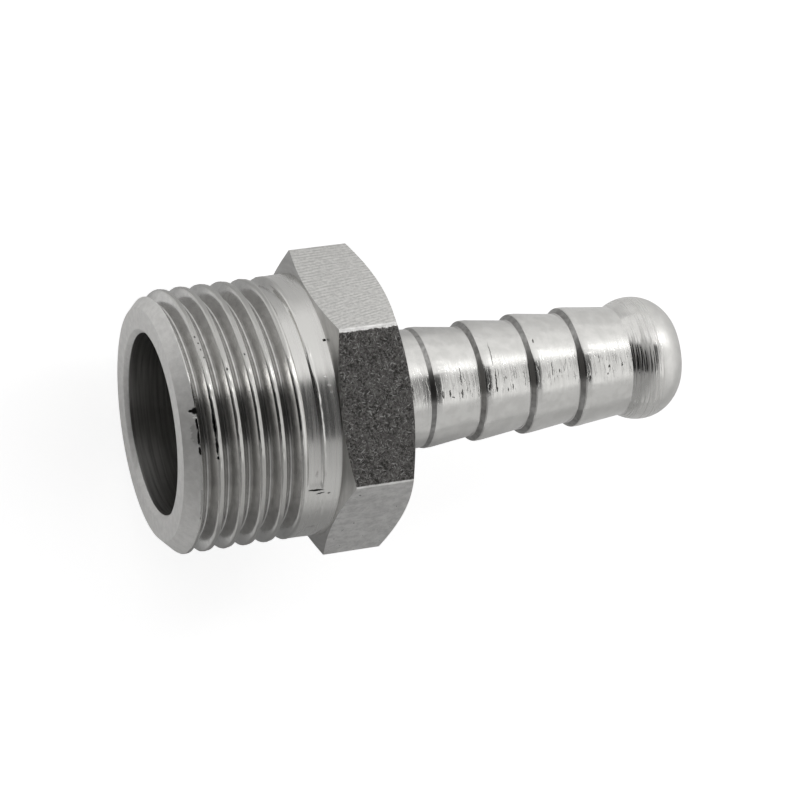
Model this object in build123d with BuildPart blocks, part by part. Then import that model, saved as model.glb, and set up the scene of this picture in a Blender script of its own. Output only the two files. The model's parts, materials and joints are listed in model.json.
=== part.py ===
from build123d import *
import os
from math import ceil, cos, pi, radians, sqrt, tan

os.makedirs("parts", exist_ok=True)

# Hose barb tail, turned from one piece of hexagon bar: a male pipe thread with a wide bore,
# a spanner hexagon, and a barbed stem with a round bead at its tip.
# It lies on one flat of the hexagon. X runs along its axis, from the thread to the bead,
# and the origin is on the surface it lies on, below the middle of its length.
# All sizes are in millimetres. A station is a distance along the axis from the thread's end face.

# Shank between the thread's end face and the hexagon
SHANK_LENGTH = 9.90
END_CHAMFER = 0.94
COLLAR_LENGTH = 1.81
COLLAR_DIAMETER = 16.74

# Pipe thread on the shank, 19 threads to the inch, 55 degree form, right-hand
THREAD_PITCH = 25.4 / 19
THREAD_DIAMETER = 16.662
THREAD_DEPTH = 0.856
THREAD_FLANK_ANGLE = 27.5
THREAD_CREST_WIDTH = 0.30

# Shallow flat groove in which the thread runs out on the collar
RUN_OUT_ANGLE = 34.0
RUN_OUT_WIDTH = 0.86
RUN_OUT_DEPTH = 0.14

# Hexagon, with a turned chamfer on each side that starts at the width across flats
HEX_ACROSS_FLATS = 17.00
HEX_LENGTH = 4.70
THREAD_SIDE_CHAMFER_ANGLE = 19.0
HOSE_SIDE_CHAMFER_ANGLE = 21.5

# Stem: a plain neck, then barbs that step up from it and fall away towards the tip
NECK_DIAMETER = 7.66
NECK_LENGTH = 2.85
BARB_COUNT = 4
BARB_PITCH = 3.43
BARB_DIAMETER = 7.84
BARB_ROOT_DIAMETER = 7.12
BARB_STEP_LENGTH = 0.30
BARB_EDGE_CHAMFER = 0.08

# Bead at the tip, an arc turned about the axis, which starts at the foot of the last barb's slope
BEAD_DIAMETER = 8.06
BEAD_ARC_RADIUS = 2.70

# Bores
WIDE_BORE_DIAMETER = 11.54
WIDE_BORE_DEPTH = 9.40
WIDE_BORE_CHAMFER = 0.28
DRILL_POINT_ANGLE = 118.0
HOSE_BORE_DIAMETER = 5.20
HOSE_BORE_CHAMFER = 0.20

# Radii and stations that follow from the sizes
thread_radius = THREAD_DIAMETER / 2
collar_radius = COLLAR_DIAMETER / 2
thread_end = SHANK_LENGTH - COLLAR_LENGTH
hex_apothem = HEX_ACROSS_FLATS / 2
hex_corner_radius = hex_apothem / cos(pi / 6)
hex_end = SHANK_LENGTH + HEX_LENGTH
neck_radius = NECK_DIAMETER / 2
barb_radius = BARB_DIAMETER / 2
barb_root_radius = BARB_ROOT_DIAMETER / 2
first_crest = hex_end + NECK_LENGTH + BARB_STEP_LENGTH
wide_bore_radius = WIDE_BORE_DIAMETER / 2
hose_bore_radius = HOSE_BORE_DIAMETER / 2
mouth_radius = hose_bore_radius + HOSE_BORE_CHAMFER

# The bead's arc runs from the foot of the last slope to the hose bore's mouth
bead_radius = BEAD_DIAMETER / 2
bead_arc_centre_radius = bead_radius - BEAD_ARC_RADIUS
bead_foot = first_crest + BARB_COUNT * BARB_PITCH
bead_middle = bead_foot + sqrt(BEAD_ARC_RADIUS**2 - (barb_root_radius - bead_arc_centre_radius) ** 2)
tip = bead_middle + sqrt(BEAD_ARC_RADIUS**2 - (mouth_radius - bead_arc_centre_radius) ** 2)

# The helix starts and ends at the top of the shank, in whole turns from half a pitch or more
# ahead of the end face
thread_turns = ceil(thread_end / THREAD_PITCH + 0.5)
thread_start = thread_end - thread_turns * THREAD_PITCH

# Places: two planes hold the axis, with x as the station and y as the radius. What is turned is
# drawn below the axis, and the thread's grooves above it, so that no seam crosses a groove's end.
end_face_x = -tip / 2
axis_origin = (end_face_x, 0, hex_apothem)
turning_plane = Plane(origin=axis_origin, x_dir=(1, 0, 0), z_dir=(0, 1, 0))
groove_plane = Plane(origin=axis_origin, x_dir=(1, 0, 0), z_dir=(0, -1, 0))
hexagon_plane = Plane(
    origin=(end_face_x + SHANK_LENGTH, 0, hex_apothem), x_dir=(0, 1, 0), z_dir=(1, 0, 0)
)
turning_axis = Axis(axis_origin, (1, 0, 0))


def helical_cutter(start, advance, depth, root_half_width, flank_slope):
    """A groove's material along the thread's helix, from a station at the top of the shank."""
    reach = 0.10
    mouth_half_width = root_half_width + (depth + reach) * flank_slope
    with BuildPart() as cutter:
        with BuildLine() as path:
            Helix(
                pitch=THREAD_PITCH,
                height=advance,
                radius=thread_radius,
                center=(end_face_x + start, 0, hex_apothem),
                direction=(1, 0, 0),
            )
        with BuildSketch(groove_plane) as section:
            with BuildLine():
                Polyline(
                    (start - root_half_width, thread_radius - depth),
                    (start + root_half_width, thread_radius - depth),
                    (start + mouth_half_width, thread_radius + reach),
                    (start - mouth_half_width, thread_radius + reach),
                    close=True,
                )
            make_face()
        sweep(sections=section.sketch, path=path.line, is_frenet=True)
    return cutter.part


# The thread's groove is cut turn by turn, and a flat shallow one carries it on for part of a turn
flank_slope = tan(radians(THREAD_FLANK_ANGLE))
root_half_width = (THREAD_PITCH - THREAD_CREST_WIDTH) / 2 - THREAD_DEPTH * flank_slope
one_turn = helical_cutter(thread_start, THREAD_PITCH, THREAD_DEPTH, root_half_width, flank_slope)
run_out_advance = THREAD_PITCH * RUN_OUT_ANGLE / 360
run_out = helical_cutter(thread_end, run_out_advance, RUN_OUT_DEPTH, RUN_OUT_WIDTH / 2, 0)

with BuildPart() as hose_tail:
    # Hexagon bar
    with BuildSketch(hexagon_plane):
        RegularPolygon(hex_corner_radius, 6)
    extrude(amount=HEX_LENGTH)

    # Both sides of the hexagon turned to a cone that starts at the width across flats
    corner_height = hex_corner_radius - hex_apothem
    thread_side_drop = corner_height * tan(radians(THREAD_SIDE_CHAMFER_ANGLE))
    hose_side_drop = corner_height * tan(radians(HOSE_SIDE_CHAMFER_ANGLE))
    with BuildSketch(turning_plane):
        with BuildLine():
            Polyline(
                (SHANK_LENGTH, 0),
                (SHANK_LENGTH, hex_apothem),
                (SHANK_LENGTH + thread_side_drop, hex_corner_radius),
                (hex_end - hose_side_drop, hex_corner_radius),
                (hex_end, hex_apothem),
                (hex_end, 0),
                close=True,
            )
        make_face()
    revolve(axis=turning_axis, mode=Mode.INTERSECT)

    # Shank, with its end chamfer, the thread's outside and the plain collar
    with BuildSketch(turning_plane):
        with BuildLine():
            Polyline(
                (0, 0),
                (0, thread_radius - END_CHAMFER),
                (END_CHAMFER, thread_radius),
                (thread_end, thread_radius),
                (SHANK_LENGTH, collar_radius),
                (SHANK_LENGTH, 0),
                close=True,
            )
        make_face()
    revolve(axis=turning_axis)

    # Stem: neck, barbs and bead in one turned profile, with the barbs' edges broken
    stem_points = [(hex_end, 0), (hex_end, neck_radius)]
    radius_before = neck_radius
    for number in range(BARB_COUNT):
        crest = first_crest + number * BARB_PITCH
        stem_points.append((crest - BARB_STEP_LENGTH, radius_before))
        stem_points.append((crest, barb_radius))
        radius_before = barb_root_radius + (barb_radius - barb_root_radius) * BARB_STEP_LENGTH / BARB_PITCH
    stem_points.append((bead_foot, barb_root_radius))
    with BuildSketch(turning_plane) as stem_profile:
        with BuildLine():
            Polyline(*stem_points)
            ThreePointArc((bead_foot, barb_root_radius), (bead_middle, bead_radius), (tip, mouth_radius))
            Polyline((tip, mouth_radius), (tip, 0), (hex_end, 0))
        make_face()
        crests = stem_profile.vertices().filter_by(lambda vertex: abs(vertex.Y - barb_radius) < 1e-6)
        chamfer(crests, BARB_EDGE_CHAMFER)
    revolve(axis=turning_axis)

    # Thread
    with Locations(*[(turn * THREAD_PITCH, 0, 0) for turn in range(thread_turns)]):
        add(one_turn, mode=Mode.SUBTRACT)
    add(run_out, mode=Mode.SUBTRACT)

    # Bores: wide from the thread's end, with a drilled point, then through the stem
    point_length = (wide_bore_radius - hose_bore_radius) / tan(radians(DRILL_POINT_ANGLE / 2))
    with BuildSketch(turning_plane):
        with BuildLine():
            Polyline(
                (0, 0),
                (0, wide_bore_radius + WIDE_BORE_CHAMFER),
                (WIDE_BORE_CHAMFER, wide_bore_radius),
                (WIDE_BORE_DEPTH, wide_bore_radius),
                (WIDE_BORE_DEPTH + point_length, hose_bore_radius),
                (tip - HOSE_BORE_CHAMFER, hose_bore_radius),
                (tip, mouth_radius),
                (tip, 0),
                close=True,
            )
        make_face()
    revolve(axis=turning_axis, mode=Mode.SUBTRACT)

hose_tail.part.label = "hose_tail"
export_step(hose_tail.part, "parts/hose_tail.step")
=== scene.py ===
import json
from math import atan2, ceil, cos, degrees, hypot, pi, radians, sin, sqrt, tan

import bpy
from mathutils import Matrix, Vector, noise


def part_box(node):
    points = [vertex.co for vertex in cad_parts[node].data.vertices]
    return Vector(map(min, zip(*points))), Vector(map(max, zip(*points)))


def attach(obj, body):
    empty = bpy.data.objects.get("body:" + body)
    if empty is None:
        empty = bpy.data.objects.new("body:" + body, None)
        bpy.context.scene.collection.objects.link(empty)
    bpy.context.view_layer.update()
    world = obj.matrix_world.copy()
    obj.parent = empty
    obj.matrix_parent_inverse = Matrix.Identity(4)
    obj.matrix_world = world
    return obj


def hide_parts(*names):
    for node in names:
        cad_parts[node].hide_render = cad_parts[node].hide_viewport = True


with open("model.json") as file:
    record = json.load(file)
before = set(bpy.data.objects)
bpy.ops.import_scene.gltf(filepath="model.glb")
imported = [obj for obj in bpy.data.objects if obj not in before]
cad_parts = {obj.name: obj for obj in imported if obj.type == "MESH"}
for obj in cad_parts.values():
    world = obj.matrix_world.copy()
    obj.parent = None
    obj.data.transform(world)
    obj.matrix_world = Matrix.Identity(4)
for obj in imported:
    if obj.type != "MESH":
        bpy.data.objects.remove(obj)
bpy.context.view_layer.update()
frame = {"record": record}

# Lengths are written in millimetres and turned to metres by MM. A station is a distance along
# the axis from the thread's end face, and an angle about the axis is counted from +Y towards +Z.
MM = 0.001

# What the frame gives: the box of the solid and the two bores
low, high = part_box("hose_tail")
mounts = {mount["name"]: mount for mount in frame["record"]["mounts"]}
END_FACE_X = low[0]
AXIS_HEIGHT = (low[2] + high[2]) / 2
TIP = (high[0] - low[0]) / MM
APOTHEM = (high[2] - low[2]) / 2 / MM
WIDE_BORE_RADIUS = mounts["wide_bore"]["dims"]["r_mm"]
WIDE_BORE_LENGTH = mounts["wide_bore"]["dims"]["length_mm"]
HOSE_BORE_RADIUS = mounts["hose_bore"]["dims"]["r_mm"]
HOSE_BORE_LENGTH = mounts["hose_bore"]["dims"]["length_mm"]

# Shank and thread, of the solid's sizes
SHANK_LENGTH = 9.90
END_CHAMFER = 0.94
COLLAR_RADIUS = 8.37
THREAD_PITCH = 25.4 / 19
THREAD_RADIUS = 8.331
THREAD_DEPTH = 0.856
THREAD_FLANK_SLOPE = tan(radians(27.5))
CREST_WIDTH = 0.30
THREAD_END = 8.09
CREST_LIP = 0.075
CREST_FALL = 0.013
RUN_OUT_DEGREES = 34
RUN_OUT_DEPTH = 0.12

# Hexagon
HEX_LENGTH = 4.70
CORNER_BREAK = 0.035
THREAD_SIDE_SLOPE = tan(radians(19))
HOSE_SIDE_SLOPE = tan(radians(21.5))

# Stem
NECK_RADIUS = 3.83
NECK_LENGTH = 2.85
BARB_COUNT = 4
BARB_PITCH = 3.43
BARB_RADIUS = 3.92
BARB_ROOT_RADIUS = 3.56
BARB_STEP_LENGTH = 0.30
BARB_LAND = 0.40
BEAD_RADIUS = 4.03
BEAD_ARC_RADIUS = 2.70
BORE_RIM = 0.28
MOUTH_CHAMFER = 0.20

# Every ring of the skin has the same columns, so that neighbouring rings share their points
COLUMNS = 240


def deselect():
    """Nothing is left selected, since an operator acts on all that is."""
    if bpy.context.object and bpy.context.object.mode != "OBJECT":
        bpy.ops.object.mode_set(mode="OBJECT")
    bpy.ops.object.select_all(action="DESELECT")


def edit(piece, mode="VERT"):
    """The piece alone is active, in edit mode."""
    deselect()
    piece.select_set(True)
    bpy.context.view_layer.objects.active = piece
    bpy.ops.object.mode_set(mode="EDIT")
    bpy.ops.mesh.select_mode(type=mode)
    bpy.ops.mesh.select_all(action="DESELECT")


def done():
    bpy.ops.object.mode_set(mode="OBJECT")


def polar(place):
    """A point's station and radius in millimetres and its angle in degrees, while the axis is X."""
    return place.x / MM, hypot(place.y, place.z) / MM, degrees(atan2(place.z, place.y)) % 360


def place_at(station, radius, angle):
    return Vector((station, radius * cos(radians(angle)), radius * sin(radians(angle)))) * MM


def rounded(corners, turn_per_point=12):
    """An outline's points from its corners (station, radius, fillet)."""
    points = [Vector(corners[0][:2])]
    for before, corner, after in zip(corners, corners[1:], corners[2:]):
        middle = Vector(corner[:2])
        back = (Vector(before[:2]) - middle).normalized()
        on = (Vector(after[:2]) - middle).normalized()
        turn = pi - back.angle(on)
        if corner[2] == 0 or turn < radians(1):
            points.append(middle)
            continue
        reach = corner[2] * tan(turn / 2)
        centre = middle + (back + on).normalized() * corner[2] / cos(turn / 2)
        count = max(2, ceil(degrees(turn) / turn_per_point))
        start = middle + back * reach - centre
        side = 1 if start.x * on.y - start.y * on.x > 0 else -1
        for step in range(count + 1):
            way = side * turn * step / count
            spun = Vector((start.x * cos(way) - start.y * sin(way), start.x * sin(way) + start.y * cos(way)))
            points.append(centre + spun)
    points.append(Vector(corners[-1][:2]))
    return points


def divided(points, longest):
    """The same outline with no stretch longer than longest."""
    result = [points[0]]
    for before, after in zip(points, points[1:]):
        count = max(1, ceil((after - before).length / longest))
        result += [before.lerp(after, step / count) for step in range(1, count + 1)]
    return result


def drawn(name, points):
    """An outline of (station, radius), drawn point by point in the plane above the axis."""
    deselect()
    bpy.ops.mesh.primitive_plane_add(size=MM, location=(0, 0, 0))
    piece = bpy.context.object
    piece.name = name
    bpy.ops.object.mode_set(mode="EDIT")
    bpy.ops.mesh.merge(type="CENTER")
    here = Vector((points[0][0], 0, points[0][1])) * MM
    bpy.ops.transform.translate(value=here)
    for before, after in zip(points, points[1:]):
        move = Vector((after[0] - before[0], 0, after[1] - before[1])) * MM
        bpy.ops.mesh.extrude_region_move(TRANSFORM_OT_translate={"value": move})
    done()
    return piece


def turned(piece, turns=1, advance=0.0):
    """The outline is turned about the axis, and moves on by advance with each turn."""
    screw = piece.modifiers.new("turn", "SCREW")
    screw.axis = "X"
    screw.angle = 2 * pi
    screw.screw_offset = advance * MM
    screw.iterations = turns
    screw.steps = COLUMNS
    screw.render_steps = COLUMNS
    screw.use_merge_vertices = True
    screw.merge_threshold = 0.0005 * MM
    deselect()
    piece.select_set(True)
    bpy.context.view_layer.objects.active = piece
    bpy.ops.object.modifier_apply(modifier=screw.name)
    edit(piece)
    bpy.ops.mesh.select_all(action="SELECT")
    bpy.ops.mesh.remove_doubles(threshold=0.001 * MM)
    done()
    return piece


def smooth(low_value, high_value, value):
    """0 below low_value, 1 above high_value and an even curve between."""
    share = min(1, max(0, (value - low_value) / (high_value - low_value)))
    return share * share * (3 - 2 * share)


def softer_min(first, second, width):
    """The lesser of two numbers, with the edge between them rounded over width."""
    share = max(0, 1 - abs(first - second) / width)
    return min(first, second) - share * share * width / 4


def torn(station, angle, seed):
    """An uneven number from -1 to 1, which changes from column to column of the skin."""
    return noise.noise(Vector((station * 3, angle * 0.35, seed)))


# Thread

# From here to the hexagon the collar is plain
PLAIN_COLLAR = 9.15
ROOT_HALF_WIDTH = (THREAD_PITCH - CREST_WIDTH) / 2 - THREAD_DEPTH * THREAD_FLANK_SLOPE


def thread_outline():
    """One pitch of the thread, from the middle of a crest to the next, with the groove between."""
    root = THREAD_RADIUS - THREAD_DEPTH
    half = THREAD_PITCH / 2
    edge = half - CREST_WIDTH / 2
    middle = THREAD_RADIUS - 0.002
    corners = [
        (-half, middle, 0),
        (-edge - 0.03, THREAD_RADIUS - CREST_FALL, 0.05),
        (-ROOT_HALF_WIDTH, root, 0.11),
        (ROOT_HALF_WIDTH, root, 0.11),
        (edge - 0.03, THREAD_RADIUS + CREST_LIP, 0.15),
        (half, middle, 0),
    ]
    return divided(rounded(corners, 18), 0.20)


def groove_place(station, angle):
    """Where a point lies on the thread: how far from the groove's middle, and its turn in degrees
    from where the full groove ends at the top."""
    share = ((angle - 90) % 360) / 360
    behind = station - THREAD_END - THREAD_PITCH * share
    turn = round(behind / THREAD_PITCH)
    return behind - turn * THREAD_PITCH, (turn + share) * 360


def collar_radius(station):
    """The shank's plain outside, which widens a little towards the hexagon."""
    share = smooth(THREAD_END, SHANK_LENGTH, station)
    return THREAD_RADIUS + (COLLAR_RADIUS - THREAD_RADIUS) * share


def shank_radius(station, radius, angle):
    """The thread's radius, with its chamfered start, the torn lip on its crest, and its last turn,
    whose groove gets shallow and runs out on the collar."""
    across, turn = groove_place(station, angle)
    outside = collar_radius(station)
    depth = THREAD_RADIUS - radius
    if depth < 0:
        depth *= max(0, 0.7 + 1.6 * torn(station, angle, 1.0))
    limit = THREAD_DEPTH + (RUN_OUT_DEPTH - THREAD_DEPTH) * smooth(-150, -15, turn)
    limit *= 1 - smooth(RUN_OUT_DEGREES - 1.5, RUN_OUT_DEGREES, turn)
    limit *= smooth(0.45, 0.95, station - across)
    if turn > RUN_OUT_DEGREES + 20:
        depth = 0
    return softer_min(outside - min(depth, limit), THREAD_RADIUS - END_CHAMFER + station, 0.14)


def shank_skin():
    """The threaded shank's outside. What is turned beyond the end face or the plain collar is
    drawn in to a ring there."""
    first_turn = -7
    turns = 9
    outline = [(point.x + THREAD_END + first_turn * THREAD_PITCH, point.y) for point in thread_outline()]
    shank = turned(drawn("shank", outline), turns, THREAD_PITCH)
    for vertex in shank.data.vertices:
        station, radius, angle = polar(vertex.co)
        if station < 0.04:
            vertex.co = place_at(0, THREAD_RADIUS - END_CHAMFER, angle)
        elif station > PLAIN_COLLAR:
            vertex.co = place_at(PLAIN_COLLAR, collar_radius(PLAIN_COLLAR), angle)
        else:
            lip = max(0, radius - THREAD_RADIUS)
            station += lip * torn(station, angle, 2.0)
            vertex.co = place_at(station, shank_radius(station, radius, angle), angle)
    return shank


def collar_end():
    """The last of the collar, up to the hexagon's face."""
    corners = [
        (PLAIN_COLLAR, collar_radius(PLAIN_COLLAR), 0),
        (SHANK_LENGTH, COLLAR_RADIUS, 0),
        (SHANK_LENGTH, APOTHEM, 0),
    ]
    return turned(drawn("collar_end", divided(rounded(corners), 0.25)))


# Hexagon


def hexagon_radius(angle):
    """The distance from the axis to the flat at that angle, with flats above and below."""
    return APOTHEM / cos(radians(angle % 60 - 30))


def drawn_to_corner(angle, share):
    """The columns beside a corner of the hexagon come close to it, for a narrow broken edge."""
    corner = round(angle / 60) * 60
    off = angle - corner
    column = 360 / COLUMNS
    if abs(off) < 2.5 * column:
        near = off * 0.25
        return corner + off + (near - off) * share
    return angle


def hexagon_skin():
    """The hexagon's sides: turned rings, each pushed out to the chamfer cones and the flats."""
    ring_stations = [0, 0.34, 0.67, 1, 1.25, 1.5, 1.75, 2, 2.33, 2.66, 3]
    blank = [(SHANK_LENGTH + share / 3 * HEX_LENGTH, APOTHEM) for share in ring_stations]
    hexagon = turned(drawn("hexagon", blank))
    for vertex in hexagon.data.vertices:
        station, radius, angle = polar(vertex.co)
        share = (station - SHANK_LENGTH) / HEX_LENGTH * 3
        angle = drawn_to_corner(angle, min(1, share, 3 - share))
        side = min(hexagon_radius(angle), APOTHEM / cos(pi / 6) - CORNER_BREAK)
        first = SHANK_LENGTH + (side - APOTHEM) * THREAD_SIDE_SLOPE
        last = SHANK_LENGTH + HEX_LENGTH - (side - APOTHEM) * HOSE_SIDE_SLOPE
        if share < 1:
            radius = APOTHEM + (side - APOTHEM) * share
            station = SHANK_LENGTH + (first - SHANK_LENGTH) * share
        elif share > 2:
            radius = side + (APOTHEM - side) * (share - 2)
            station = last + (SHANK_LENGTH + HEX_LENGTH - last) * (share - 2)
        else:
            radius = side
            station = first + (last - first) * (share - 1)
        vertex.co = place_at(station, radius, angle)
    edit(hexagon)
    bpy.ops.mesh.select_all(action="SELECT")
    bpy.ops.mesh.remove_doubles(threshold=0.001 * MM)
    done()
    return hexagon


# Stem, bores and end face

HEX_END = SHANK_LENGTH + HEX_LENGTH
FIRST_CREST = HEX_END + NECK_LENGTH + BARB_STEP_LENGTH
BEAD_FOOT = FIRST_CREST + BARB_COUNT * BARB_PITCH


def bead_outline():
    """The bead's arc from the foot of the last slope to the bore's mouth."""
    centre_radius = BEAD_RADIUS - BEAD_ARC_RADIUS
    foot_rise = BARB_ROOT_RADIUS - centre_radius
    mouth_rise = HOSE_BORE_RADIUS + MOUTH_CHAMFER - centre_radius
    middle = BEAD_FOOT + sqrt(BEAD_ARC_RADIUS**2 - foot_rise**2)
    start = atan2(foot_rise, BEAD_FOOT - middle)
    end = atan2(mouth_rise, sqrt(BEAD_ARC_RADIUS**2 - mouth_rise**2))
    count = 26
    ways = [start + (end - start) * step / count for step in range(count + 1)]
    return [Vector((middle + BEAD_ARC_RADIUS * cos(way), centre_radius + BEAD_ARC_RADIUS * sin(way))) for way in ways]


def stem_skin():
    """From the hexagon's face along the barbs to the bead, and back through the bores."""
    corners = [(HEX_END, APOTHEM, 0), (HEX_END, NECK_RADIUS, 0.12)]
    before = NECK_RADIUS
    for number in range(BARB_COUNT):
        crest = FIRST_CREST + number * BARB_PITCH
        corners.append((crest - BARB_STEP_LENGTH, before, 0.10))
        corners.append((crest, BARB_RADIUS, 0.16))
        corners.append((crest + BARB_LAND, BARB_RADIUS - 0.01, 1.0))
        before = BARB_ROOT_RADIUS
    corners.append((BEAD_FOOT, BARB_ROOT_RADIUS, 0))
    outside = divided(rounded(corners, 11), 0.60)

    hose_bore_start = TIP - MOUTH_CHAMFER - HOSE_BORE_LENGTH
    wide_bore_end = BORE_RIM + WIDE_BORE_LENGTH
    back = [
        (TIP, HOSE_BORE_RADIUS + MOUTH_CHAMFER, 0),
        (TIP - MOUTH_CHAMFER, HOSE_BORE_RADIUS, 0.1),
        (hose_bore_start, HOSE_BORE_RADIUS, 0),
        (wide_bore_end, WIDE_BORE_RADIUS, 0),
        (BORE_RIM, WIDE_BORE_RADIUS, 0.12),
        (0, WIDE_BORE_RADIUS + BORE_RIM, 0.12),
        (0, THREAD_RADIUS - END_CHAMFER, 0),
    ]
    inside = divided(rounded(back, 15), 2.5)
    stem = turned(drawn("stem", outside[:-1] + bead_outline() + inside[1:]))
    for vertex in stem.data.vertices:
        station, radius, angle = polar(vertex.co)
        behind = (station - FIRST_CREST) % BARB_PITCH
        on_land = FIRST_CREST - 0.1 < station < BEAD_FOOT - 0.5 and 0.1 < behind < 0.9
        if radius > BARB_ROOT_RADIUS and on_land:
            rough = smooth(0.1, 0.35, behind) * (1 - smooth(0.5, 0.9, behind))
            vertex.co = place_at(station, radius + 0.012 * rough * torn(station, angle, 3.0), angle)
    return stem


def assembled():
    """One closed skin from the parts, which share their rings."""
    parts = [shank_skin(), collar_end(), hexagon_skin(), stem_skin()]
    deselect()
    for part in parts:
        part.select_set(True)
    bpy.context.view_layer.objects.active = parts[0]
    bpy.ops.object.join()
    body = bpy.context.object
    body.name = "turned_hose_tail"
    edit(body)
    bpy.ops.mesh.select_all(action="SELECT")
    bpy.ops.mesh.remove_doubles(threshold=0.002 * MM)
    bpy.ops.mesh.normals_make_consistent(inside=False)
    done()
    return body


def finished(body):
    """Put in the part's own place, and shaded with its edges kept."""
    body.data.transform(Matrix.Translation((END_FACE_X, 0, AXIS_HEIGHT)))
    deselect()
    body.select_set(True)
    bpy.context.view_layer.objects.active = body
    bpy.ops.object.shade_smooth_by_angle(angle=radians(32))


# Materials


def linear(code):
    """A colour written as sRGB hex, in linear values with alpha."""
    values = [int(code[i : i + 2], 16) / 255 for i in (1, 3, 5)]
    return [v / 12.92 if v <= 0.04045 else ((v + 0.055) / 1.055) ** 2.4 for v in values] + [1]


def add(tree, kind, settings=None, inputs=None):
    """A node with its settings and inputs. An input is a value or another node's output."""
    node = tree.nodes.new(kind)
    for name, value in (settings or {}).items():
        setattr(node, name, value)
    for name, value in (inputs or {}).items():
        if isinstance(value, bpy.types.NodeSocket):
            tree.links.new(value, node.inputs[name])
        else:
            node.inputs[name].default_value = value
    return node


def calc(tree, operation, first, second=0.0):
    """A number from one or two numbers."""
    inputs = {0: first, 1: second}
    return add(tree, "ShaderNodeMath", {"operation": operation}, inputs).outputs["Value"]


def ramp(tree, value, start, end, low_value=0.0, high_value=1.0):
    """An even curve from low_value at start to high_value at end."""
    settings = {"interpolation_type": "SMOOTHSTEP"}
    inputs = {"Value": value, "From Min": start, "From Max": end, "To Min": low_value, "To Max": high_value}
    return add(tree, "ShaderNodeMapRange", settings, inputs).outputs["Result"]


def blend(tree, factor, first, second):
    """A number between two others."""
    return add(tree, "ShaderNodeMix", {"data_type": "FLOAT"}, {0: factor, 2: first, 3: second}).outputs[0]


def blend_colour(tree, factor, first, second):
    node = add(tree, "ShaderNodeMix", {"data_type": "RGBA"}, {0: factor, 6: first, 7: second})
    return node.outputs[2]


def place_in_mm(tree):
    """A point's place in millimetres, from the middle of the end face."""
    here = add(tree, "ShaderNodeTexCoord").outputs["Object"]
    settings = {"operation": "SUBTRACT"}
    moved = add(tree, "ShaderNodeVectorMath", settings, {0: here, 1: (END_FACE_X, 0, AXIS_HEIGHT)})
    scaled = add(tree, "ShaderNodeVectorMath", {"operation": "SCALE"}, {0: moved.outputs[0], "Scale": 1 / MM})
    return scaled.outputs[0]


def cloud(tree, place, density, detail=2.0, roughness=0.5):
    """Noise, with density as its lumps to the millimetre along X, Y and Z."""
    stretched = add(tree, "ShaderNodeVectorMath", {"operation": "MULTIPLY"}, {0: place, 1: density})
    inputs = {"Vector": stretched.outputs[0], "Scale": 1.0, "Detail": detail, "Roughness": roughness}
    return add(tree, "ShaderNodeTexNoise", inputs=inputs).outputs["Fac"]


def bumped(tree, height, depth_mm):
    """A normal from a height of 0 to 1 that stands for depth_mm."""
    inputs = {"Height": height, "Distance": depth_mm * MM, "Strength": 1.0}
    return add(tree, "ShaderNodeBump", inputs=inputs).outputs["Normal"]


def metal(name, colour, roughness):
    """A metal material, with its node tree and its shader."""
    material = bpy.data.materials.new(name)
    material.use_nodes = True
    tree = material.node_tree
    shader = tree.nodes["Principled BSDF"]
    shader.inputs["Base Color"].default_value = linear(colour)
    shader.inputs["Metallic"].default_value = 1.0
    shader.inputs["Roughness"].default_value = roughness
    return material, tree, shader


def polar_in_mm(tree):
    """A point's station and radius in millimetres and its angle in degrees, 0 to 360."""
    parts = add(tree, "ShaderNodeSeparateXYZ", inputs={0: place_in_mm(tree)}).outputs
    around = calc(tree, "DEGREES", calc(tree, "ARCTAN2", parts["Z"], parts["Y"]))
    across = add(tree, "ShaderNodeCombineXYZ", inputs={"X": parts["Y"], "Y": parts["Z"]}).outputs[0]
    radius = add(tree, "ShaderNodeVectorMath", {"operation": "LENGTH"}, {0: across}).outputs["Value"]
    return parts["X"], radius, calc(tree, "FLOORED_MODULO", around, 360.0)


def marks(tree, radius, spots, edge=0.16):
    """1 in small spots, such as torn ones, and 0 elsewhere. Each spot has its station, its angle, its half
    length along the axis and about it in millimetres, and its turn in degrees."""
    station, _, angle = polar_in_mm(tree)
    arc = calc(tree, "MULTIPLY", angle, radians(radius))
    here = add(tree, "ShaderNodeCombineXYZ", inputs={"X": station, "Y": arc}).outputs[0]
    noisy = add(tree, "ShaderNodeTexNoise", inputs={"Vector": here, "Scale": 6.0, "Detail": 2.0}).outputs["Color"]
    moved = add(tree, "ShaderNodeVectorMath", {"operation": "SUBTRACT"}, {0: noisy, 1: (0.5, 0.5, 0.5)}).outputs[0]
    ragged = add(tree, "ShaderNodeVectorMath", {"operation": "MULTIPLY_ADD"}, {0: moved, 1: (edge, edge, 0), 2: here})
    total = 0.0
    for spot_station, spot_angle, along, about, turn in spots:
        inputs = {
            "Vector": ragged.outputs[0],
            "Location": (spot_station, radians(spot_angle) * radius, 0),
            "Rotation": (0, 0, radians(turn)),
            "Scale": (along, about, 1),
        }
        local = add(tree, "ShaderNodeMapping", {"vector_type": "TEXTURE"}, inputs).outputs[0]
        reach = add(tree, "ShaderNodeVectorMath", {"operation": "LENGTH"}, {0: local}).outputs["Value"]
        total = calc(tree, "MAXIMUM", total, ramp(tree, reach, 0.7, 1.15, 1.0, 0.0))
    return total
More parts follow.
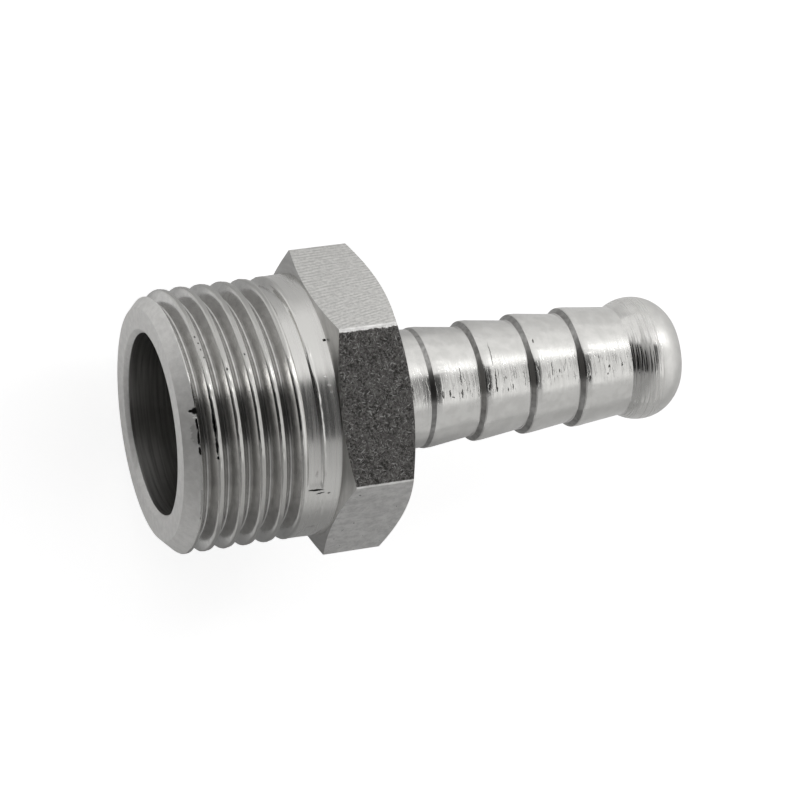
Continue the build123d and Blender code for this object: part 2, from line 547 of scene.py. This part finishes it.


# Torn and dented spots on the shank, painted near black partly as their wear and partly as painted shade in the dents,
# and scuffs on the stem, as marks() takes them
SHANK_SPOTS = [
    (0.62, 81.6, 0.15, 0.11, 0), (0.80, 81.8, 0.17, 0.24, 8), (0.92, 82.6, 0.10, 0.12, 0),
    (0.88, 77.0, 0.05, 0.45, 2), (0.84, 87.5, 0.085, 0.52, -2), (0.84, 93.5, 0.085, 0.50, 2), (0.84, 99.0, 0.08, 0.28, 0),
    (1.84, 80.0, 0.045, 0.75, -1.5), (1.87, 88.5, 0.075, 0.85, -1.5), (1.90, 97.5, 0.06, 0.55, -1.5), (1.94, 103.0, 0.06, 0.12, 0),
    (0.74, 113.8, 0.17, 0.05, 3), (0.87, 129.2, 0.06, 0.06, 0), (0.88, 132.4, 0.06, 0.07, 0), (0.84, 141.0, 0.05, 0.05, 0),
    (1.82, 48.8, 0.06, 0.06, 0), (1.92, 52.3, 0.05, 0.05, 0), (1.95, 55.6, 0.05, 0.06, 0), (2.02, 59.4, 0.04, 0.07, 0),
    (8.25, 125.4, 0.50, 0.075, 4), (8.56, 127.4, 0.28, 0.05, -8), (9.12, 127.8, 0.08, 0.05, 0),
    (9.74, 59.0, 0.11, 0.08, 0), (4.56, 60.5, 0.05, 0.06, 0), (3.25, 66.0, 0.05, 0.08, 0),
]
SHANK_SMUDGES = [(8.29, 117.6, 0.07, 0.26, 0), (8.58, 139.4, 0.08, 0.08, 0), (8.50, 152.0, 0.34, 0.07, 0), (0.66, 91.5, 0.20, 0.75, 0)]
SHANK_GLINTS = [(0.80, 84.7, 0.17, 0.05, 6), (9.30, 75.2, 0.10, 0.05, 20), (9.44, 79.0, 0.12, 0.06, 15), (9.50, 82.0, 0.10, 0.04, 0)]
STEM_SPOTS = [
    (19.60, 80.0, 0.03, 0.62, 2), (19.57, 97.0, 0.05, 0.30, 0), (21.85, 62.0, 0.022, 0.85, 2),
    (21.88, 88.0, 0.04, 0.70, 2), (21.90, 97.0, 0.06, 0.18, 0), (21.36, 94.0, 0.07, 0.22, 10), (28.28, 99.0, 0.06, 0.20, 10),
    (17.60, 93.0, 0.05, 0.22, 0), (18.20, 95.0, 0.05, 0.26, 0), (18.72, 95.0, 0.06, 0.24, 0), (18.95, 99.0, 0.12, 0.04, 30),
    (22.70, 99.0, 0.04, 0.16, 0), (23.05, 97.0, 0.04, 0.22, 0), (25.80, 84.0, 0.02, 0.50, 0), (26.30, 88.0, 0.04, 0.14, 0),
    (29.05, 79.0, 0.02, 0.12, 0), (29.75, 89.8, 0.05, 0.10, 25), (29.60, 97.0, 0.04, 0.10, 35), (30.70, 89.8, 0.03, 0.14, 0),
    (24.90, 55.0, 0.05, 0.16, 0), (22.60, 87.0, 0.03, 0.10, 0), (16.20, 88.0, 0.04, 0.50, 0),
]


def nickel_turned():
    """Satin nickel with fine turned lines, for the thread and the collar. The thread's tone is darker than
    the collar's, its grooves are rougher and darkened with depth as painted shade, and torn spots are
    near black, partly their wear and partly painted shade in the dents."""
    material, tree, shader = metal("nickel_turned", "#D1D0CD", 0.24)
    place = place_in_mm(tree)
    station, radius, angle = polar_in_mm(tree)
    lines = cloud(tree, place, (5.0, 0.15, 0.15), 3.0)
    grain = cloud(tree, place, (4.0, 1.6, 1.6), 3.0, 0.6)

    # How far along the last turn a point is, for its shallow groove gets no painted shade and is as bright as the
    # collar
    share = calc(tree, "FRACT", calc(tree, "DIVIDE", calc(tree, "SUBTRACT", angle, 90.0 - 360.0), 360.0))
    pitches = calc(tree, "DIVIDE", calc(tree, "SUBTRACT", station, THREAD_END), THREAD_PITCH)
    turn = calc(tree, "ADD", calc(tree, "ROUND", calc(tree, "SUBTRACT", pitches, share)), share)
    deep = calc(tree, "SUBTRACT", THREAD_RADIUS, radius)
    unlit = calc(tree, "ADD", deep, calc(tree, "MULTIPLY", calc(tree, "SUBTRACT", grain, 0.5), 0.10))
    on_thread = ramp(tree, turn, -0.30, -0.10, 1.0, 0.0)
    # Painted shade: the colour darkens from the crest into the groove, over a little noise
    groove = calc(tree, "MULTIPLY", ramp(tree, unlit, 0.02, 0.10), on_thread)
    groove_shade_colour = blend_colour(tree, ramp(tree, grain, 0.35, 0.70), linear("#C6C5C3"), linear("#B7B6B4"))
    crest = blend_colour(tree, on_thread, linear("#D1D0CD"), linear("#B6B5B2"))
    colour = blend_colour(tree, groove, crest, groove_shade_colour)
    spots = marks(tree, THREAD_RADIUS, SHANK_SPOTS, 0.12)
    smudges = calc(tree, "MULTIPLY", marks(tree, THREAD_RADIUS, SHANK_SMUDGES, 0.5), 0.45)
    colour = blend_colour(tree, smudges, colour, linear("#6E6C6A"))
    # Torn spots go near black, partly their wear and partly painted shade in the dents
    colour = blend_colour(tree, spots, colour, linear("#1E1D1C"))
    glints = marks(tree, THREAD_RADIUS, SHANK_GLINTS)
    tree.links.new(blend_colour(tree, glints, colour, linear("#F4F3F1")), shader.inputs["Base Color"])

    height = calc(tree, "MULTIPLY", lines, 0.004)
    height = calc(tree, "ADD", height, calc(tree, "MULTIPLY", glints, 0.02))
    height = calc(tree, "SUBTRACT", height, calc(tree, "MULTIPLY", spots, 0.03))
    tree.links.new(bumped(tree, height, 1.0), shader.inputs["Normal"])
    plain = ramp(tree, lines, 0.3, 0.7, 0.18, 0.30)
    tree.links.new(blend(tree, calc(tree, "MAXIMUM", groove, spots), plain, 0.22), shader.inputs["Roughness"])
    return material


def nickel_bright():
    """Polished nickel with fine turned lines, for the stem, scuffed on the side it has rolled on."""
    material, tree, shader = metal("nickel_bright", "#D9D8D5", 0.16)
    place = place_in_mm(tree)
    station, radius, angle = polar_in_mm(tree)
    lines = cloud(tree, place, (5.0, 0.12, 0.12), 4.0, 0.6)
    bead = ramp(tree, station, BEAD_FOOT - 0.1, BEAD_FOOT + 0.2)
    scuffs = ramp(tree, cloud(tree, place, (5.5, 1.1, 1.1), 3.0, 0.6), 0.57, 0.66)
    side_wear_and_shade = calc(tree, "MULTIPLY", ramp(tree, angle, 62, 82), ramp(tree, angle, 98, 110, 1.0, 0.0))
    scuffs = calc(tree, "MULTIPLY", scuffs, side_wear_and_shade)
    spots = marks(tree, NECK_RADIUS, STEM_SPOTS)
    soft = cloud(tree, place, (1.3, 1.3, 1.3), 2.0)
    colour = blend_colour(tree, ramp(tree, soft, 0.35, 0.65), linear("#D2D1CE"), linear("#DAD9D6"))
    tree.links.new(blend_colour(tree, spots, colour, linear("#5C5B59")), shader.inputs["Base Color"])

    fine = cloud(tree, place, (11.0, 0.3, 0.3), 2.0)
    height = calc(tree, "MULTIPLY", lines, blend(tree, bead, 0.007, 0.014))
    height = calc(tree, "ADD", height, calc(tree, "MULTIPLY", fine, blend(tree, bead, 0.002, 0.007)))
    height = calc(tree, "SUBTRACT", height, calc(tree, "MULTIPLY", scuffs, 0.006))
    height = calc(tree, "SUBTRACT", height, calc(tree, "MULTIPLY", spots, 0.012))
    tree.links.new(bumped(tree, height, 1.0), shader.inputs["Normal"])
    plain = ramp(tree, lines, 0.3, 0.7, 0.15, 0.27)
    streaks = ramp(tree, fine, 0.46, 0.62, 0.16, 0.58)
    streaks = blend(tree, ramp(tree, station, BEAD_FOOT + 1.8, BEAD_FOOT + 2.3), streaks, 0.38)
    tree.links.new(blend(tree, bead, plain, streaks), shader.inputs["Roughness"])
    return material


def nickel_step():
    """Rougher plating on the steps of the barbs, painted darker than the stem as shade, and darker still on the side
    towards +Z.
    """
    material, tree, shader = metal("nickel_step", "#9C9A98", 0.34)
    place = place_in_mm(tree)
    mottle = cloud(tree, place, (3.0, 3.0, 3.0), 3.0, 0.6)
    colour = blend_colour(tree, ramp(tree, mottle, 0.35, 0.65), linear("#8F8E8C"), linear("#AAA9A7"))
    _, _, angle = polar_in_mm(tree)
    # Painted shade: darker on the side of the steps turned towards +Z
    side_wear_and_shade = calc(tree, "MULTIPLY", ramp(tree, angle, 62, 76), ramp(tree, angle, 94, 104, 1.0, 0.0))
    tree.links.new(blend_colour(tree, side_wear_and_shade, colour, linear("#6E6D6B")), shader.inputs["Base Color"])
    return material


def nickel_matt():
    """Matt nickel over a sandy skin, for the end face and the chamfers beside it."""
    material, tree, shader = metal("nickel_matt", "#DAD9D7", 0.60)
    place = place_in_mm(tree)
    mottle = cloud(tree, place, (2.2, 2.2, 2.2), 4.0, 0.65)
    colour = blend_colour(tree, ramp(tree, mottle, 0.3, 0.7), linear("#CCCBC9"), linear("#D8D7D5"))
    smudges = calc(tree, "MULTIPLY", marks(tree, THREAD_RADIUS, SHANK_SMUDGES, 0.5), 0.35)
    colour = blend_colour(tree, smudges, colour, linear("#6E6C6A"))
    spots = marks(tree, THREAD_RADIUS, SHANK_SPOTS[:11], 0.12)
    # Torn spots go near black, partly their wear and partly painted shade in the dents
    colour = blend_colour(tree, spots, colour, linear("#1E1D1C"))
    glints = marks(tree, THREAD_RADIUS, SHANK_GLINTS[:1])
    tree.links.new(blend_colour(tree, glints, colour, linear("#F4F3F1")), shader.inputs["Base Color"])
    height = calc(tree, "SUBTRACT", calc(tree, "MULTIPLY", mottle, 0.02), calc(tree, "MULTIPLY", spots, 0.05))
    tree.links.new(bumped(tree, height, 1.0), shader.inputs["Normal"])
    return material


def nickel_flat():
    """Smooth nickel with a few pits, for the hexagon's plain flats."""
    material, tree, shader = metal("nickel_flat", "#D6D5D3", 0.34)
    place = place_in_mm(tree)
    mottle = cloud(tree, place, (1.6, 1.6, 1.6), 5.0, 0.7)
    colour = blend_colour(tree, ramp(tree, mottle, 0.32, 0.66), linear("#D2D1CF"), linear("#F0EFED"))
    pits = ramp(tree, cloud(tree, place, (3.2, 3.2, 3.2), 2.0), 0.70, 0.75)
    tree.links.new(blend_colour(tree, pits, colour, linear("#8C8B89")), shader.inputs["Base Color"])
    return material


def nickel_cone():
    """Nickel over fine turned lines, for the chamfers and faces at the hexagon's ends."""
    material, tree, shader = metal("nickel_cone", "#C5C4C2", 0.34)
    place = place_in_mm(tree)
    lines = cloud(tree, place, (6.0, 0.4, 0.4), 3.0, 0.6)
    colour = blend_colour(tree, ramp(tree, lines, 0.3, 0.7), linear("#ACABA9"), linear("#C0BFBD"))
    tree.links.new(colour, shader.inputs["Base Color"])
    return material


def nickel_milled():
    """Nickel over a cutter's fine curved marks 0.3 mm apart, for one flat. They run almost along
    the axis at its far edge, and turn across it towards the near one."""
    material, tree, shader = metal("nickel_milled", "#CBCAC7", 0.34)
    place = place_in_mm(tree)
    along = add(tree, "ShaderNodeSeparateXYZ", inputs={0: place}).outputs["X"]
    across = add(
        tree, "ShaderNodeVectorMath", {"operation": "DOT_PRODUCT"}, {0: place, 1: (0, -sin(radians(30)), cos(radians(30)))}
    ).outputs["Value"]
    slope = calc(tree, "MULTIPLY_ADD", across, 0.037)
    slope.node.inputs[2].default_value = 0.16
    from_middle = calc(tree, "SUBTRACT", along, SHANK_LENGTH + HEX_LENGTH / 2)
    line = calc(tree, "ADD", across, calc(tree, "MULTIPLY", slope, from_middle))
    waver = cloud(tree, place, (0.8, 1.6, 1.6), 2.0)
    line = calc(tree, "ADD", line, calc(tree, "MULTIPLY", waver, 0.30))
    wave = calc(tree, "SINE", calc(tree, "MULTIPLY", line, 2 * pi / 0.30))
    depth = ramp(tree, cloud(tree, place, (0.9, 2.2, 2.2), 3.0, 0.6), 0.35, 0.62)
    wave = calc(tree, "MULTIPLY", wave, depth)
    grain = ramp(tree, cloud(tree, place, (5.0, 5.0, 5.0), 3.0, 0.7), 0.3, 0.7, -0.9, 0.9)
    light = ramp(tree, calc(tree, "ADD", wave, grain), -1.6, 1.6)
    colour = blend_colour(tree, light, linear("#C8C7C4"), linear("#EDECE9"))
    tree.links.new(colour, shader.inputs["Base Color"])
    tree.links.new(bumped(tree, wave, 0.001), shader.inputs["Normal"])
    return material


def nickel_sawn():
    """Thin nickel over a sandy flat with short scratches that lie all ways. Its edge to the milled
    flat is a ragged bright burr."""
    material, tree, shader = metal("nickel_sawn", "#6A6866", 0.42)
    place = place_in_mm(tree)
    grain = cloud(tree, place, (7.0, 7.0, 7.0), 4.0, 0.75)
    patches = cloud(tree, place, (1.2, 1.2, 1.2), 3.0, 0.6)
    colour = blend_colour(tree, ramp(tree, grain, 0.40, 0.62), linear("#3B3A38"), linear("#7C7A78"))
    colour = blend_colour(tree, ramp(tree, patches, 0.35, 0.65, 0.0, 0.35), colour, linear("#7E7C7A"))
    scratches = 0.0
    for turn, low_value in ((20, 0.63), (75, 0.64), (-35, 0.64), (-70, 0.66)):
        inputs = {"Vector": place, "Rotation": (0, 0, radians(turn)), "Location": (turn, 0, 0)}
        turned_place = add(tree, "ShaderNodeMapping", inputs=inputs).outputs[0]
        fibres = cloud(tree, turned_place, (2.2, 9.0, 2.0), 2.0)
        scratches = calc(tree, "MAXIMUM", scratches, ramp(tree, fibres, low_value, low_value + 0.06))
    colour = blend_colour(tree, scratches, colour, linear("#A7A6A4"))
    side = add(tree, "ShaderNodeSeparateXYZ", inputs={0: place}).outputs["Y"]
    uneven = calc(tree, "MULTIPLY", cloud(tree, place, (3.0, 1.0, 1.0), 3.0, 0.7), 0.34)
    corner = APOTHEM * tan(radians(30))
    far = calc(tree, "ADD", side, uneven)
    near = calc(tree, "ADD", calc(tree, "MULTIPLY", side, -1.0), calc(tree, "MULTIPLY", uneven, 0.5))
    burr = calc(tree, "MAXIMUM", ramp(tree, far, corner - 0.06, corner), ramp(tree, near, corner - 0.03, corner + 0.02))
    colour = blend_colour(tree, burr, colour, linear("#E2E1DF"))
    rise = calc(tree, "MAXIMUM", calc(tree, "SUBTRACT", far, corner - 0.06), 0.0)
    rise = calc(tree, "ADD", rise, calc(tree, "MAXIMUM", calc(tree, "SUBTRACT", near, corner - 0.03), 0.0))
    tree.links.new(colour, shader.inputs["Base Color"])
    height = calc(tree, "ADD", calc(tree, "MULTIPLY", grain, 0.03), calc(tree, "MULTIPLY", scratches, -0.01))
    height = calc(tree, "SUBTRACT", height, calc(tree, "MULTIPLY", rise, 0.5))
    tree.links.new(bumped(tree, height, 1.0), shader.inputs["Normal"])
    return material


def nickel_bore():
    """Dull nickel with faint turned lines, inside the bores."""
    material, tree, shader = metal("nickel_bore", "#A3A2A0", 0.36)
    place = place_in_mm(tree)
    lines = cloud(tree, place, (6.0, 0.2, 0.2), 3.0)
    colour = blend_colour(tree, ramp(tree, lines, 0.3, 0.7), linear("#949391"), linear("#B4B3B1"))
    tree.links.new(colour, shader.inputs["Base Color"])
    tree.links.new(bumped(tree, lines, 0.008), shader.inputs["Normal"])
    return material


def dressed(body):
    """Each face gets the finish of the place that it is in."""
    finishes = [
        nickel_turned(), nickel_bright(), nickel_step(), nickel_matt(),
        nickel_flat(), nickel_cone(), nickel_milled(), nickel_sawn(), nickel_bore(),
    ]
    number = {material.name: index for index, material in enumerate(finishes)}
    body.data.materials.clear()
    for material in finishes:
        body.data.materials.append(material)
    for face in body.data.polygons:
        station, radius, angle = polar(face.center)
        normal_angle = degrees(atan2(face.normal.z, face.normal.y)) % 360
        if radius < WIDE_BORE_RADIUS + 0.01 and station < SHANK_LENGTH + HEX_LENGTH and face.normal.x < 0.9:
            finish = "nickel_bore"
        elif radius < NECK_RADIUS - 1 and face.normal.x < 0.2:
            finish = "nickel_bore"
        elif station < END_CHAMFER and (station < BORE_RIM or radius > THREAD_RADIUS - END_CHAMFER + station - 0.02):
            finish = "nickel_matt"
        elif station < SHANK_LENGTH - 0.01:
            finish = "nickel_turned"
        elif station < HEX_END + 0.01 and radius > NECK_RADIUS + 0.15:
            flat = hypot(face.normal.y, face.normal.z) > 0.99
            if flat and abs(normal_angle - 90) < 5:
                finish = "nickel_sawn"
            elif flat and abs(normal_angle - 30) < 5:
                finish = "nickel_milled"
            elif flat:
                finish = "nickel_flat"
            else:
                finish = "nickel_cone"
        elif face.normal.x < -0.7 and HEX_END + 0.5 < station < BEAD_FOOT - 0.5:
            finish = "nickel_step"
        elif face.normal.x < -0.12 and FIRST_CREST - 0.5 < station < FIRST_CREST:
            finish = "nickel_step"
        else:
            finish = "nickel_bright"
        face.material_index = number[finish]


# Stage

CAMERA_PLACE = Vector((-70.04, 17.92, 212.71)) * MM
CAMERA_RIGHT = Vector((0.93862, -0.10911, 0.32724))
CAMERA_UP = Vector((0.13105, 0.99032, -0.04569))
CAMERA_BACK = Vector((-0.31908, 0.08577, 0.94384))
FOCAL_PIXELS = 3370
IMAGE_PIXELS = 800
SENSOR = 36


def add_camera():
    data = bpy.data.cameras.new("camera")
    data.sensor_width = SENSOR
    data.lens = FOCAL_PIXELS / IMAGE_PIXELS * SENSOR
    data.clip_start = 0.01
    data.clip_end = 10
    camera = bpy.data.objects.new("camera", data)
    turn = Matrix((CAMERA_RIGHT, CAMERA_UP, CAMERA_BACK)).transposed().to_4x4()
    camera.matrix_world = Matrix.Translation(CAMERA_PLACE) @ turn
    bpy.context.scene.collection.objects.link(camera)
    bpy.context.scene.camera = camera


def add_floor():
    deselect()
    bpy.ops.mesh.primitive_plane_add(size=2.0, location=(0, 0, 0))
    floor = bpy.context.object
    floor.name = "floor"
    material = bpy.data.materials.new("white_table")
    material.use_nodes = True
    tree = material.node_tree
    tree.nodes.clear()
    path = add(tree, "ShaderNodeLightPath")
    cloth = add(tree, "ShaderNodeBsdfDiffuse", inputs={"Color": linear("#CACACA")})
    reflected = calc(tree, "MAXIMUM", path.outputs["Is Glossy Ray"], path.outputs["Is Transmission Ray"])
    seen = calc(tree, "MULTIPLY", path.outputs["Is Camera Ray"], 0.77)
    # The table glows only for reflected rays, a painted light that is stronger behind the object than in front of it,
    # and more beyond its two ends
    here = add(tree, "ShaderNodeSeparateXYZ", inputs={0: add(tree, "ShaderNodeTexCoord").outputs["Object"]})
    lit = ramp(tree, here.outputs["Y"], -30 * MM, 40 * MM, 0.0, 0.32)
    lit = calc(tree, "ADD", lit, ramp(tree, here.outputs["X"], -20 * MM, -16.5 * MM, 0.36, 0.0))
    lit = calc(tree, "ADD", lit, ramp(tree, here.outputs["X"], 4 * MM, 16 * MM, 0.0, 0.18))
    strength = calc(tree, "ADD", seen, calc(tree, "MULTIPLY", reflected, lit))
    glow = add(tree, "ShaderNodeEmission", inputs={"Color": (1, 1, 1, 1), "Strength": strength})
    both = add(tree, "ShaderNodeAddShader")
    tree.links.new(cloth.outputs[0], both.inputs[0])
    tree.links.new(glow.outputs[0], both.inputs[1])
    out = add(tree, "ShaderNodeOutputMaterial")
    tree.links.new(both.outputs[0], out.inputs["Surface"])
    floor.data.materials.append(material)
    return floor


def add_world():
    """A white tent round the object, with a wide dark opening that the camera looks through."""
    world = bpy.data.worlds.new("studio")
    bpy.context.scene.world = world
    world.use_nodes = True
    tree = world.node_tree
    tree.nodes.clear()
    way = add(tree, "ShaderNodeTexCoord").outputs["Generated"]

    def along(direction):
        node = add(tree, "ShaderNodeVectorMath", {"operation": "DOT_PRODUCT"}, {0: way, 1: direction})
        return node.outputs["Value"]

    # Degrees to the right of the camera and above it, as seen from the object
    right = calc(tree, "DEGREES", calc(tree, "ARCTAN2", along(CAMERA_RIGHT), along(CAMERA_BACK)))
    above = calc(tree, "DEGREES", calc(tree, "ARCSINE", along(CAMERA_UP)))

    def window(value, low_start, low_end, high_start, high_end):
        inside = ramp(tree, value, low_start, low_end)
        return calc(tree, "MULTIPLY", inside, ramp(tree, value, high_start, high_end, 1.0, 0.0))

    # Below its lower edge the tent is dimmer, and its right side is the brightest
    upper = ramp(tree, above, 20, 75, 1.06, 0.98)
    lower = blend(tree, window(right, 22, 66, 130, 160), 0.38, 0.66)
    tent = blend(tree, ramp(tree, above, -32, -25), lower, upper)
    # A dim strip on the left
    tent = blend(tree, window(right, -125, -115, -98, -90), tent, 0.32)
    opening = calc(tree, "MULTIPLY", window(right, -100, -90, 47, 52), window(above, -31, -26, 20, 26))
    tent = blend(tree, opening, tent, ramp(tree, right, 15, 35, 0.012, 0.08))
    # A lamp above and to the right of the camera
    glow = calc(tree, "MULTIPLY", window(right, 30, 56, 76, 92), window(above, 24, 31, 32, 50))
    lamp = calc(tree, "MULTIPLY", window(right, 62, 68, 75, 81), window(above, 22, 27, 31, 37))
    lit = calc(tree, "ADD", calc(tree, "MULTIPLY", glow, 0.48), calc(tree, "MULTIPLY", lamp, 7.0))
    tent = calc(tree, "ADD", tent, lit)

    path = add(tree, "ShaderNodeLightPath")
    strength = blend(tree, path.outputs["Is Camera Ray"], tent, 1.0)
    sky = add(tree, "ShaderNodeBackground", inputs={"Color": (1, 1, 1, 1), "Strength": strength})
    out = add(tree, "ShaderNodeOutputWorld")
    tree.links.new(sky.outputs[0], out.inputs["Surface"])


body = assembled()
dressed(body)
finished(body)
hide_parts("hose_tail")
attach(body, "root")

add_camera()
add_floor()
add_world()
bpy.context.scene.view_settings.view_transform = "Standard"
